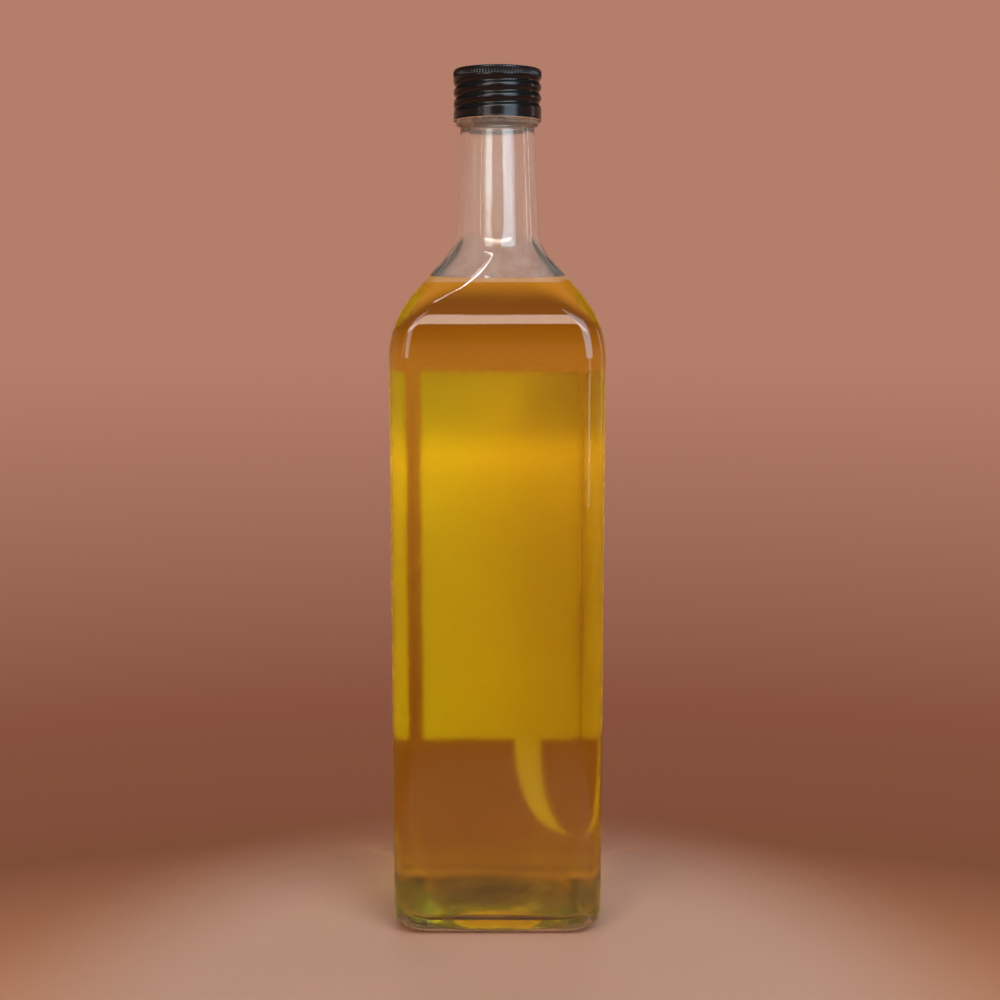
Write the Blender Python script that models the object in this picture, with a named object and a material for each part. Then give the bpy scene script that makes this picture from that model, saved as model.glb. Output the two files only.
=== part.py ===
# A square clear-glass oil bottle with a roll-on metal screw cap, filled with sunflower oil.
# Metres, +Z up. The origin is under the middle of the base, and the label is on the +Y face.

import math

import bmesh
import bpy

MM = 0.001
FIT_GAP = 0.3 * MM

# Driving sizes of the glass
BODY_HALF = 37.25 * MM
BODY_CORNER = 8.3 * MM
WALL = 3.0 * MM
HEEL_RADIUS = 7.0 * MM
FLOOR_THICKNESS = 5.0 * MM
INNER_HEEL_RADIUS = 6.0 * MM
PUNT_HALF = 26.0 * MM
PUNT_HEIGHT = 5.0 * MM
PUNT_SHAPE = 4
SHOULDER_CORNER_Z = 218.8 * MM
SHOULDER_RADIUS = 38.0 * MM
NECK_ROOT_RADIUS = 15.1 * MM
NECK_ROOT_Z = 245.2 * MM
NECK_ROOT_FILLET = 15.0 * MM
NECK_TOP_RADIUS = 13.2 * MM
NECK_TOP_Z = 286.2 * MM
SQUARE_TOP_Z = 215.0 * MM
ROUND_FROM_Z = 247.0 * MM

# The finish: a collar bead, then the plain barrel that the cap is rolled on
BEAD_RADIUS = 14.9 * MM
BEAD_LOW_Z = 287.5 * MM
BEAD_HIGH_Z = 289.4 * MM
BEAD_TOP_Z = 290.6 * MM
BARREL_RADIUS = 13.9 * MM
LIP_Z = 303.6 * MM
LIP_ROUND = 1.0 * MM

# The cap
CAP_RADIUS = 15.6 * MM
CAP_LOW_Z = 288.2 * MM
CAP_TOP_Z = 306.0 * MM
CAP_TOP_ROUND = 0.7 * MM
CAP_SKIRT_INNER = 15.25 * MM
CAP_BARREL_INNER = 14.3 * MM
CAP_STEP_LOW_Z = 290.9 * MM
CAP_STEP_HIGH_Z = 291.9 * MM
CAP_CEILING_Z = 304.0 * MM
RIM_ROLL = 0.45 * MM
RIM_SWELL = 0.15 * MM
GROOVE_PITCH = 3.75 * MM
GROOVE_DEPTH = 0.75 * MM
GROOVE_HALF_WIDTH = 0.95 * MM
GROOVE_FRONT_Z = 293.5 * MM
GROOVE_FIRST_TURN = -0.30
GROOVE_LAST_TURN = 2.35
GROOVE_FADE_TURNS = 0.12
GROOVE_ZONE_LOW_Z = 291.6 * MM
GROOVE_ZONE_HIGH_Z = 302.8 * MM
KNURL_LOW_Z = 303.3 * MM
KNURL_HIGH_Z = 305.0 * MM
KNURL_COUNT = 90
KNURL_DEPTH = 0.3 * MM

# The oil, and the label, whose right edge is measured along the sheet round the rear corner
OIL_LEVEL_Z = 232.0 * MM
LABEL_LEFT_X = -28.9 * MM
LABEL_RIGHT_X = 31.6 * MM
LABEL_LOW_Z = 57.0 * MM
LABEL_HIGH_Z = 198.5 * MM
LABEL_THICKNESS = 0.2 * MM
LABEL_ROUND = 1.5 * MM
TAIL_LOW_Z = 19.0 * MM
TAIL_ROOT_LEFT_X = 6.5 * MM
TAIL_ROOT_RIGHT_X = 16.5 * MM
TAIL_TIP_X = 28.9 * MM
TAIL_TIP_HALF_WIDTH = 2.0 * MM

# How finely things are faceted
FLAT_STEPS = 2
CORNER_STEPS = 6
SHOULDER_STEPS = 9
NECK_FILLET_STEPS = 5
HEEL_STEPS = 4
PUNT_STEPS = 6
CAP_COLUMNS = 60
GROOVE_ROWS = 21
ROUND_STEPS = 3
TAIL_STEPS = 10
LABEL_ROUND_STEPS = 4
LABEL_BEND_STEPS = 4
SMOOTH_ANGLE = math.radians(35)

BODY_ROUNDNESS = BODY_CORNER / BODY_HALF
HEEL_ROUNDNESS = 0.30


def clear_scene():
    for old in list(bpy.data.objects):
        bpy.data.objects.remove(old, do_unlink=True)


def make_material(name, colour, roughness, metallic=0.0, transmission=0.0, index=1.5):
    """A Principled BSDF material; colour is linear RGB."""
    material = bpy.data.materials.new(name)
    material.use_nodes = True
    shader = material.node_tree.nodes["Principled BSDF"]
    shader.inputs["Base Color"].default_value = (*colour, 1.0)
    shader.inputs["Roughness"].default_value = roughness
    shader.inputs["Metallic"].default_value = metallic
    shader.inputs["Transmission Weight"].default_value = transmission
    shader.inputs["IOR"].default_value = index
    return material


def add_object(name, mesh_data, material):
    """Turns a bmesh into a smooth-shaded object with outward faces."""
    bmesh.ops.recalc_face_normals(mesh_data, faces=mesh_data.faces)
    mesh = bpy.data.meshes.new(name)
    mesh_data.to_mesh(mesh)
    mesh_data.free()
    mesh.materials.append(material)
    mesh.shade_smooth()
    mesh.set_sharp_from_angle(angle=SMOOTH_ANGLE)
    thing = bpy.data.objects.new(name, mesh)
    bpy.context.collection.objects.link(thing)
    return thing


def mix(low, high, share):
    return low + (high - low) * share


def smooth_share(value, low, high):
    """0 at low, 1 at high, easing in and out between them."""
    share = min(max((value - low) / (high - low), 0.0), 1.0)
    return share * share * (3 - 2 * share)


def quarter_angles(roundness):
    """Directions of a section's points over a quarter turn, close together at a tight corner."""
    straight = 1 - roundness
    square = []
    for step in range(FLAT_STEPS):
        square.append(math.atan(straight * step / FLAT_STEPS))
    for step in range(CORNER_STEPS + 1):
        turn = math.radians(90) * step / CORNER_STEPS
        across = straight + roundness * math.cos(turn)
        along = straight + roundness * math.sin(turn)
        square.append(math.atan2(along, across))
    for step in range(FLAT_STEPS - 1, 0, -1):
        square.append(math.radians(90) - math.atan(straight * step / FLAT_STEPS))
    blend = min(max((roundness - BODY_ROUNDNESS) / (1 - BODY_ROUNDNESS), 0.0), 1.0)
    even = [math.radians(90) * step / len(square) for step in range(len(square))]
    return [mix(tight, plain, blend) for tight, plain in zip(square, even)]


def reach(angle, half, corner):
    """Distance from the middle to a rounded square of that half-width and corner radius."""
    large = max(abs(math.cos(angle)), abs(math.sin(angle)))
    small = min(abs(math.cos(angle)), abs(math.sin(angle)))
    centre = half - corner
    if half * small / large <= centre:
        return half / large
    along = centre * (large + small)
    return along + math.sqrt(along * along - 2 * centre * centre + corner * corner)


def section(half, roundness):
    """The points of one level section, from the +X direction round to it again."""
    points = []
    for quarter in range(4):
        for angle in quarter_angles(roundness):
            turned = angle + math.radians(90) * quarter
            far = reach(turned, half, half * roundness)
            points.append((far * math.cos(turned), far * math.sin(turned)))
    return points


def loft(mesh_data, stations):
    """A closed skin over stations of (half-width, z, roundness), with a pole at each end."""
    rings = []
    for half, z, roundness in stations[1:-1]:
        rings.append([mesh_data.verts.new((x, y, z)) for x, y in section(half, roundness)])
    first = mesh_data.verts.new((0, 0, stations[0][1]))
    last = mesh_data.verts.new((0, 0, stations[-1][1]))
    count = len(rings[0])
    for column in range(count):
        following = (column + 1) % count
        mesh_data.faces.new((first, rings[0][following], rings[0][column]))
        for low, high in zip(rings, rings[1:]):
            mesh_data.faces.new((low[column], low[following], high[following], high[column]))
        mesh_data.faces.new((last, rings[-1][column], rings[-1][following]))


def fillet(before, corner, after, radius, steps):
    """Points of an arc that rounds the corner of an outline with that radius."""
    ways = []
    for end in (before, after):
        length = math.hypot(end[0] - corner[0], end[1] - corner[1])
        ways.append(((end[0] - corner[0]) / length, (end[1] - corner[1]) / length))
    opening = math.acos(ways[0][0] * ways[1][0] + ways[0][1] * ways[1][1])
    back = radius / math.tan(opening / 2)
    bisector = (ways[0][0] + ways[1][0], ways[0][1] + ways[1][1])
    size = math.hypot(*bisector)
    away = radius / math.sin(opening / 2)
    centre = (corner[0] + bisector[0] / size * away, corner[1] + bisector[1] / size * away)
    start = (corner[0] + ways[0][0] * back, corner[1] + ways[0][1] * back)
    finish = (corner[0] + ways[1][0] * back, corner[1] + ways[1][1] * back)
    first = math.atan2(start[1] - centre[1], start[0] - centre[0])
    turn = math.atan2(finish[1] - centre[1], finish[0] - centre[0]) - first
    turn = (turn + math.pi) % (2 * math.pi) - math.pi
    points = []
    for step in range(steps + 1):
        angle = first + turn * step / steps
        points.append((centre[0] + radius * math.cos(angle), centre[1] + radius * math.sin(angle)))
    return points


def body_outline(inset):
    """Outline (half-width, z) of the straight body, shoulder and neck, moved inwards by inset."""
    slope = math.atan2(NECK_ROOT_Z - SHOULDER_CORNER_Z, BODY_HALF - NECK_ROOT_RADIUS)
    lean = math.atan2(NECK_ROOT_RADIUS - NECK_TOP_RADIUS, NECK_TOP_Z - NECK_ROOT_Z)
    shoulder_drop = inset * math.tan((math.radians(90) - slope) / 2)
    neck_drop = inset * math.tan((math.radians(90) - slope - lean) / 2)
    low = (BODY_HALF - inset, HEEL_RADIUS)
    shoulder = (BODY_HALF - inset, SHOULDER_CORNER_Z - shoulder_drop)
    root = (NECK_ROOT_RADIUS - inset, NECK_ROOT_Z - neck_drop)
    top = (NECK_TOP_RADIUS - inset, NECK_TOP_Z)
    points = fillet(low, shoulder, root, SHOULDER_RADIUS - inset, SHOULDER_STEPS)
    points += fillet(shoulder, root, top, NECK_ROOT_FILLET + inset, NECK_FILLET_STEPS)
    points.append(top)
    return points


def roundness_at(z, inset):
    """Corner radius over half-width of the section at that height, for a skin set in by inset."""
    share = smooth_share(z, SQUARE_TOP_Z, ROUND_FROM_Z)
    square = (BODY_CORNER - inset) / (BODY_HALF - inset)
    return mix(square, 1.0, share)


def body_stations(inset):
    return [(half, z, roundness_at(z, inset)) for half, z in body_outline(inset)]


def heel_stations(half, floor_z, radius, roundness):
    """Stations of a rounded bottom edge, from the floor outwards and up to the wall."""
    stations = []
    for step in range(HEEL_STEPS + 1):
        turn = math.radians(90) * step / HEEL_STEPS
        across = half - radius + radius * math.sin(turn)
        z = floor_z + radius - radius * math.cos(turn)
        stations.append((across, z, mix(HEEL_ROUNDNESS, roundness, step / HEEL_STEPS)))
    return stations


def dome_stations(half, floor_z, height):
    """Stations of the push-up's broad dome, from its middle out to the rounded-square edge."""
    stations = [(0, floor_z + height, 1.0)]
    for step in range(1, PUNT_STEPS + 1):
        share = step / PUNT_STEPS
        z = floor_z + height * (1 - share**PUNT_SHAPE)
        stations.append((half * share, z, mix(1.0, HEEL_ROUNDNESS, share * share)))
    return stations


def inner_stations(clearance):
    """Stations of the hollow's skin from the middle of its floor up to the neck's top."""
    inset = WALL + clearance
    half = BODY_HALF - inset
    floor_z = FLOOR_THICKNESS + clearance
    roundness = (BODY_CORNER - inset) / half
    radius = INNER_HEEL_RADIUS - clearance
    stations = dome_stations(half - radius, floor_z, PUNT_HEIGHT)
    stations += heel_stations(half, floor_z, radius, roundness)[1:]
    return stations + body_stations(inset)


def finish_stations():
    """Stations of the collar bead, the barrel inside the cap and the rounded lip."""
    stations = [
        (BEAD_RADIUS - LIP_ROUND / 2, mix(NECK_TOP_Z, BEAD_LOW_Z, 0.5), 1.0),
        (BEAD_RADIUS, BEAD_LOW_Z, 1.0),
        (BEAD_RADIUS, BEAD_HIGH_Z, 1.0),
        (BARREL_RADIUS, BEAD_TOP_Z, 1.0),
    ]
    for step in range(ROUND_STEPS + 1):
        turn = math.radians(90) * step / ROUND_STEPS
        half = BARREL_RADIUS - LIP_ROUND + LIP_ROUND * math.cos(turn)
        stations.append((half, LIP_Z - LIP_ROUND + LIP_ROUND * math.sin(turn), 1.0))
    return stations


def make_bottle():
    """The hollow glass, closed over the lip and open at its mouth."""
    bore = NECK_TOP_RADIUS - WALL
    stations = dome_stations(PUNT_HALF, 0.0, PUNT_HEIGHT)
    stations += heel_stations(BODY_HALF, 0.0, HEEL_RADIUS, BODY_ROUNDNESS)
    stations += body_stations(0.0)
    stations += finish_stations()
    stations.append((bore + LIP_ROUND, LIP_Z, 1.0))
    stations.append((bore, LIP_Z - LIP_ROUND, 1.0))
    stations += reversed(inner_stations(0.0))
    mesh_data = bmesh.new()
    loft(mesh_data, stations)
    glass = make_material("clear_glass", (0.92, 0.95, 0.90), 0.02, transmission=1.0, index=1.52)
    return add_object("bottle_glass", mesh_data, glass)


def make_oil():
    """The oil, from just inside the glass floor up to its level surface in the shoulder."""
    stations = [row for row in inner_stations(FIT_GAP) if row[1] < OIL_LEVEL_Z]
    above = next(row for row in inner_stations(FIT_GAP)[PUNT_STEPS + 1 :] if row[1] > OIL_LEVEL_Z)
    share = (OIL_LEVEL_Z - stations[-1][1]) / (above[1] - stations[-1][1])
    half = mix(stations[-1][0], above[0], share)
    stations.append((half, OIL_LEVEL_Z, mix(stations[-1][2], above[2], share)))
    stations.append((0, OIL_LEVEL_Z, 1.0))
    mesh_data = bmesh.new()
    loft(mesh_data, stations)
    oil = make_material("sunflower_oil", (0.75, 0.48, 0.02), 0.0, transmission=1.0, index=1.47)
    return add_object("oil", mesh_data, oil)


def groove_depth(angle, z):
    """How deep the rolled thread groove is there. It climbs to the right as seen from outside."""
    front_turn = (angle / (2 * math.pi) + 0.25) % 1.0
    if front_turn > 0.5:
        front_turn -= 1.0
    depth = 0.0
    for whole in range(-1, 4):
        turn = whole + front_turn
        inside = min(turn - GROOVE_FIRST_TURN, GROOVE_LAST_TURN - turn)
        fade = smooth_share(inside, 0.0, GROOVE_FADE_TURNS)
        off = (z - GROOVE_FRONT_Z - GROOVE_PITCH * turn) / GROOVE_HALF_WIDTH
        depth = max(depth, GROOVE_DEPTH * fade * math.exp(-off * off))
    return depth


def cap_ring(mesh_data, radius, z, grooved=False):
    ring = []
    for column in range(CAP_COLUMNS):
        angle = 2 * math.pi * column / CAP_COLUMNS
        here = radius - (groove_depth(angle, z) if grooved else 0.0)
        ring.append(mesh_data.verts.new((here * math.cos(angle), here * math.sin(angle), z)))
    return ring


def knurl_ring(mesh_data, z):
    """A ring of the knurled band, with a ridge and a valley for each knurl."""
    ring = []
    for point in range(2 * KNURL_COUNT):
        angle = math.pi * point / KNURL_COUNT
        radius = CAP_RADIUS - KNURL_DEPTH * (point % 2)
        ring.append(mesh_data.verts.new((radius * math.cos(angle), radius * math.sin(angle), z)))
    return ring


def bridge(mesh_data, low, high):
    """Faces between two rings whose point counts are equal, or one a multiple of the other."""
    few, many = (low, high) if len(low) <= len(high) else (high, low)
    ratio = len(many) // len(few)
    for column in range(len(few)):
        corner = few[column]
        following = few[(column + 1) % len(few)]
        fine = [many[(column * ratio + step) % len(many)] for step in range(ratio + 1)]
        if ratio == 1:
            mesh_data.faces.new((corner, following, fine[1], fine[0]))
            continue
        half = ratio // 2
        for step in range(ratio):
            root = corner if step <= half else following
            mesh_data.faces.new((root, fine[step + 1], fine[step]))
        mesh_data.faces.new((corner, following, fine[half + 1]))


def make_cap():
    """The roll-on cap: knurled top edge, thread groove, plain skirt and rolled lower rim."""
    mesh_data = bmesh.new()
    rim_top = CAP_LOW_Z + 2 * RIM_ROLL
    rings = [
        cap_ring(mesh_data, CAP_RADIUS - RIM_ROLL / 4, CAP_LOW_Z),
        cap_ring(mesh_data, CAP_RADIUS + RIM_SWELL, CAP_LOW_Z + RIM_ROLL),
        cap_ring(mesh_data, CAP_RADIUS, rim_top),
    ]
    for row in range(GROOVE_ROWS + 1):
        z = mix(GROOVE_ZONE_LOW_Z, GROOVE_ZONE_HIGH_Z, row / GROOVE_ROWS)
        rings.append(cap_ring(mesh_data, CAP_RADIUS, z, grooved=True))
    rings.append(knurl_ring(mesh_data, KNURL_LOW_Z))
    rings.append(knurl_ring(mesh_data, KNURL_HIGH_Z))
    for step in range(ROUND_STEPS + 1):
        turn = math.radians(90) * step / ROUND_STEPS
        radius = CAP_RADIUS - KNURL_DEPTH - CAP_TOP_ROUND + CAP_TOP_ROUND * math.cos(turn)
        z = CAP_TOP_Z - CAP_TOP_ROUND + CAP_TOP_ROUND * math.sin(turn)
        rings.append(cap_ring(mesh_data, radius, z))
    inner = [
        cap_ring(mesh_data, CAP_SKIRT_INNER, CAP_LOW_Z),
        cap_ring(mesh_data, CAP_SKIRT_INNER, CAP_STEP_LOW_Z),
        cap_ring(mesh_data, CAP_BARREL_INNER, CAP_STEP_HIGH_Z),
        cap_ring(mesh_data, CAP_BARREL_INNER, CAP_CEILING_Z),
    ]
    for low, high in zip(rings, rings[1:]):
        bridge(mesh_data, low, high)
    for low, high in zip(inner, inner[1:]):
        bridge(mesh_data, high, low)
    bridge(mesh_data, inner[0], rings[0])
    for ring, z in ((rings[-1], CAP_TOP_Z), (inner[-1], CAP_CEILING_Z)):
        middle = mesh_data.verts.new((0, 0, z))
        for column in range(CAP_COLUMNS):
            mesh_data.faces.new((middle, ring[column], ring[(column + 1) % CAP_COLUMNS]))
    metal = make_material("black_lacquered_metal", (0.012, 0.012, 0.013), 0.22)
    return add_object("cap", mesh_data, metal)


def corner_arc(x, z, first_degrees):
    """Points of a quarter arc of the label's corner, about that centre."""
    points = []
    for step in range(LABEL_ROUND_STEPS + 1):
        turn = math.radians(first_degrees + 90 * step / LABEL_ROUND_STEPS)
        points.append((x + LABEL_ROUND * math.cos(turn), z + LABEL_ROUND * math.sin(turn)))
    return points


def tail_side(root_x, tip_x):
    """One curved side of the label's tail, from its root down to its tip."""
    points = []
    for step in range(TAIL_STEPS + 1):
        share = step / TAIL_STEPS
        turn = math.radians(90) * share
        x = root_x + (tip_x - root_x) * (1 - math.cos(turn))
        points.append((x, mix(LABEL_LOW_Z, TAIL_LOW_Z, math.sin(turn))))
    return points


def cut_along(mesh_data, x):
    """Splits a flat sheet along the upright line at that x."""
    whole = list(mesh_data.verts) + list(mesh_data.edges) + list(mesh_data.faces)
    bmesh.ops.bisect_plane(mesh_data, geom=whole, plane_co=(x, 0, 0), plane_no=(1, 0, 0))


def bend_round_corner(vertices):
    """Turns what reaches past the rear face's flat part round the body's rear right corner."""
    flat = BODY_HALF - BODY_CORNER
    for vertex in vertices:
        past = vertex.co.x - flat
        if past > 0:
            radius = vertex.co.y - flat
            vertex.co.x = flat + radius * math.sin(past / BODY_CORNER)
            vertex.co.y = flat + radius * math.cos(past / BODY_CORNER)


def make_label():
    """The paper label, flat on the rear face and just round its right corner, with a curved tail."""
    left = LABEL_LEFT_X + LABEL_ROUND
    right = LABEL_RIGHT_X - LABEL_ROUND
    low = LABEL_LOW_Z + LABEL_ROUND
    high = LABEL_HIGH_Z - LABEL_ROUND
    outline = corner_arc(right, high, 0) + corner_arc(left, high, 90) + corner_arc(left, low, 180)
    outline += tail_side(TAIL_ROOT_LEFT_X, TAIL_TIP_X - TAIL_TIP_HALF_WIDTH)
    outline += reversed(tail_side(TAIL_ROOT_RIGHT_X, TAIL_TIP_X))
    outline += corner_arc(right, low, 270)
    mesh_data = bmesh.new()
    near = BODY_HALF + FIT_GAP
    mesh_data.faces.new([mesh_data.verts.new((x, near, z)) for x, z in outline])
    flat = BODY_HALF - BODY_CORNER
    for step in range(LABEL_BEND_STEPS):
        cut_along(mesh_data, mix(flat, LABEL_RIGHT_X, step / LABEL_BEND_STEPS))
    grown = bmesh.ops.extrude_face_region(mesh_data, geom=list(mesh_data.faces))
    moved = [part for part in grown["geom"] if isinstance(part, bmesh.types.BMVert)]
    bmesh.ops.translate(mesh_data, verts=moved, vec=(0, LABEL_THICKNESS, 0))
    bend_round_corner(mesh_data.verts)
    paper = make_material("label_paper", (0.80, 0.76, 0.66), 0.7)
    return add_object("label", mesh_data, paper)


clear_scene()
make_bottle()
make_oil()
make_cap()
make_label()
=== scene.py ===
# The looks of a square clear-glass bottle of sunflower oil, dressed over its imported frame.
# Metres, +Z up. The bare front face looks along -Y, and the label is on the +Y face.

import math
import random

import bmesh
import bpy
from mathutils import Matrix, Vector, noise


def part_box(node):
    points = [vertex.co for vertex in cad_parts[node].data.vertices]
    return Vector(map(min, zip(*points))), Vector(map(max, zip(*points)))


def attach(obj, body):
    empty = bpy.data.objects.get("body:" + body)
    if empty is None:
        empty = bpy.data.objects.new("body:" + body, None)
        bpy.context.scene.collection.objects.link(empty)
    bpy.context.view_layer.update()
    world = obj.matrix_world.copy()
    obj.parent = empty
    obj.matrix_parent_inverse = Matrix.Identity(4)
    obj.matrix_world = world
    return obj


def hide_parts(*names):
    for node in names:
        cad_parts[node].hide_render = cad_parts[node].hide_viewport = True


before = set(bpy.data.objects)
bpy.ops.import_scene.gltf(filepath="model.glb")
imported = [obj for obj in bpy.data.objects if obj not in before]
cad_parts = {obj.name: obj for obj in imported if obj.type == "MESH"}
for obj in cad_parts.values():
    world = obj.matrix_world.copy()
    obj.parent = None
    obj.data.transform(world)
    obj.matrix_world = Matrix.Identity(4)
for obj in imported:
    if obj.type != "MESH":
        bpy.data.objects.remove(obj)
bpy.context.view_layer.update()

MM = 0.001
QUARTER_TURN = math.radians(90)
FULL_TURN = 2 * math.pi
GLASS_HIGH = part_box("bottle_glass")[1]
OIL_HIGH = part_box("oil")[1]
CAP_LOW, CAP_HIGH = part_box("cap")
LABEL_LOW, LABEL_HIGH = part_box("label")

# Sizes of the glass
BODY_HALF = GLASS_HIGH[0]
BODY_CORNER = 8.3 * MM
WALL = 3.0 * MM
HEEL_RADIUS = 7.0 * MM
FLOOR_THICKNESS = 5.0 * MM
INNER_HEEL_RADIUS = 6.0 * MM
PUNT_HALF = 26.0 * MM
PUNT_HEIGHT = 5.0 * MM
PUNT_SHAPE = 4
SHOULDER_CORNER_Z = 218.8 * MM
SHOULDER_RADIUS = 38.0 * MM
NECK_ROOT_RADIUS = 15.1 * MM
NECK_ROOT_Z = 245.2 * MM
NECK_ROOT_FILLET = 15.0 * MM
NECK_TOP_RADIUS = 13.2 * MM
NECK_TOP_Z = 286.2 * MM
SQUARE_TOP_Z = 215.0 * MM
ROUND_FROM_Z = 247.0 * MM
BEAD_RADIUS = 14.9 * MM
BEAD_LOW_Z = 287.5 * MM
BEAD_HIGH_Z = 289.4 * MM
BEAD_TOP_Z = 290.6 * MM
BARREL_RADIUS = 13.9 * MM
LIP_Z = GLASS_HIGH[2]
LIP_ROUND = 1.0 * MM
BODY_ROUNDNESS = BODY_CORNER / BODY_HALF
HEEL_ROUNDNESS = 0.30
BEAD_FULLNESS = 0.5
BEAD_CLEARANCE = 0.1 * MM
GRIP_RIDGE = 0.22 * MM

# How uneven the blown glass is: depth, waves per metre, seed
INNER_WAVE = (0.16 * MM, 45.0, 7.7)
OUTER_WAVE = (0.03 * MM, 60.0, 3.1)

# The order of the materials on a piece that has more than one
CLEAR, WETTED, HAZED = range(3)
OIL_SIDE, OIL_SURFACE = range(2)
LACQUERED, BARE = range(2)
INNER_PAPER, OUTER_PAPER = range(2)

# How finely things are meshed
FLAT_STEPS = 14
CORNER_STEPS = 28
WALL_STEPS = 40
SHOULDER_STEPS = 36
CONE_STEPS = 16
FILLET_STEPS = 18
NECK_STEPS = 16
HEEL_STEPS = 12
PUNT_STEPS = 24
ROUND_STEPS = 6
SHARP_ANGLE = math.radians(30)

# The oil
OIL_LEVEL_Z = OIL_HIGH[2]
OIL_REACH = 0.4 * MM
MENISCUS_HEIGHT = 0.35 * MM
MENISCUS_WIDTH = 1.6 * MM
MENISCUS_STEPS = 8
MENISCUS_ROUNDING = 0.1
DROP_COUNT = 70
DROP_SEED = 11
DROP_RADIUS_LOW = 0.18 * MM
DROP_RADIUS_HIGH = 0.55 * MM
DROP_RISE_LOW = 0.5 * MM
DROP_RISE_HIGH = 4.5 * MM
DROP_FLATNESS = 0.45
DROP_COLUMNS = 12
DROP_ROWS = 8

# The cap
CAP_RADIUS = 15.6 * MM
CAP_LOW_Z = CAP_LOW[2]
CAP_TOP_Z = CAP_HIGH[2]
CAP_TOP_ROUND = 0.8 * MM
CAP_SKIRT_INNER = 15.25 * MM
CAP_BARREL_INNER = 14.3 * MM
CAP_STEP_LOW_Z = 290.9 * MM
CAP_STEP_HIGH_Z = 291.9 * MM
CAP_CEILING_Z = 304.0 * MM
RIM_ROLL = 0.45 * MM
RIM_SWELL = 0.15 * MM
GROOVE_PITCH = 3.75 * MM
GROOVE_DEPTH = 0.75 * MM
GROOVE_HALF_WIDTH = 0.95 * MM
GROOVE_FRONT_Z = 293.5 * MM
GROOVE_FIRST_TURN = -0.30
GROOVE_LAST_TURN = 2.35
GROOVE_FADE_TURNS = 0.12
GROOVE_ZONE_LOW_Z = 290.6 * MM
GROOVE_ZONE_HIGH_Z = 303.0 * MM
GROOVE_ROWS = 72
KNURL_LOW_Z = 303.2 * MM
KNURL_HIGH_Z = 305.1 * MM
KNURL_COUNT = 90
KNURL_DEPTH = 0.45 * MM
KNURL_ROWS = 8
KNURL_FULLNESS = 0.4
BARE_RIM_SHARE = 0.7
BARE_INSIDE_MARGIN = 0.05 * MM
CAP_COLUMNS = 8 * KNURL_COUNT

# The label, pressed a hair into the glass. Its right edge is measured round the rear corner.
LABEL_LEFT_X = LABEL_LOW[0]
LABEL_RIGHT_X = 31.6 * MM
LABEL_LOW_Z = 57.0 * MM
LABEL_HIGH_Z = LABEL_HIGH[2]
LABEL_SINK = 0.06 * MM
LABEL_THICKNESS = 0.2 * MM
LABEL_INNER_Y = BODY_HALF - LABEL_SINK
LABEL_OUTER_Y = LABEL_INNER_Y + LABEL_THICKNESS
LABEL_ROUND = 1.5 * MM
TAIL_LOW_Z = LABEL_LOW[2]
TAIL_ROOT_LEFT_X = 6.5 * MM
TAIL_ROOT_RIGHT_X = 16.5 * MM
TAIL_TIP_X = 28.9 * MM
TAIL_TIP_HALF_WIDTH = 2.0 * MM
TAIL_STEPS = 24
LABEL_ROUND_STEPS = 8
LABEL_BEND_STEPS = 12

# The finishes. A scale is in waves per metre, and a bump is its strength and its depth.
GLASS_IOR = 1.52
GLASS_TINT = (0.62, 0.86, 0.66)
GLASS_TINT_DENSITY = 0.4
GLASS_RIPPLE_SCALE = 70.0
WETTED_ROUGHNESS = (0.13, 0.20)
CLEAR_ROUGHNESS = (0.0, 0.02)
HAZE_COLOUR = (0.95, 0.93, 0.85)
HAZE_SCALE = 260.0
HAZE_STRETCH = (1.0, 1.0, 0.12)
HAZE_CLARITY = (0.94, 0.86)
HAZE_CONTRAST = (0.3, 0.7)
OIL_IOR = 1.47
OIL_COLOUR = (0.980, 0.886, 0.10)
OIL_DENSITY = 50.0
LACQUER_COLOUR = (0.004, 0.004, 0.0045)
LACQUER_SPECULAR = 0.3
LACQUER_GRAIN_SCALE = 900.0
LACQUER_ROUGHNESS = (0.14, 0.26)
LACQUER_BUMP = (0.15, 0.02 * MM)
METAL_COLOUR = (0.62, 0.60, 0.56)
METAL_GRAIN_SCALE = 1400.0
METAL_ROUGHNESS = (0.25, 0.5)
PAPER_BACK = (0.97, 0.94, 0.88)
PAPER_BACK_THROUGH = 0.08
PAPER_FRONT = (0.86, 0.82, 0.74)
PAPER_FRONT_THROUGH = 0.3
PAPER_FIBRE_SCALE = 2500.0
PAPER_FIBRE_TONE = 0.95
PAPER_ROUGHNESS = 0.75
PAPER_BUMP = (0.3, 0.03 * MM)

# The label's print, fields of colour on the outer face. Bands are (low z, high z, colour).
PRINT_GREEN = (0.07, 0.17, 0.045)
PRINT_GOLD = (0.80, 0.46, 0.03)
PRINT_BROWN = (0.11, 0.045, 0.02)
PRINT_BANDS = (
    (186.0 * MM, 200.0 * MM, PRINT_GREEN),
    (182.5 * MM, 184.5 * MM, PRINT_GOLD),
    (71.0 * MM, 73.0 * MM, PRINT_GOLD),
    (15.0 * MM, 69.5 * MM, PRINT_GREEN),
)
FLOWER_Z = 128.0 * MM
FLOWER_RADIUS = 21.0 * MM
FLOWER_PETALS = 13
FLOWER_CUT = 0.34
FLOWER_HEART_RADIUS = 9.5 * MM

# The camera: its place, how far it looks down, and the lens for a 36 mm sensor
CAMERA_PLACE = (0.9 * MM, -508.6 * MM, 230.0 * MM)
CAMERA_DOWN = math.radians(7.47)
CAMERA_LENS_MM = 50.27
CAMERA_SENSOR_MM = 36.0
CAMERA_SHIFT_Y = -0.03

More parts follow.
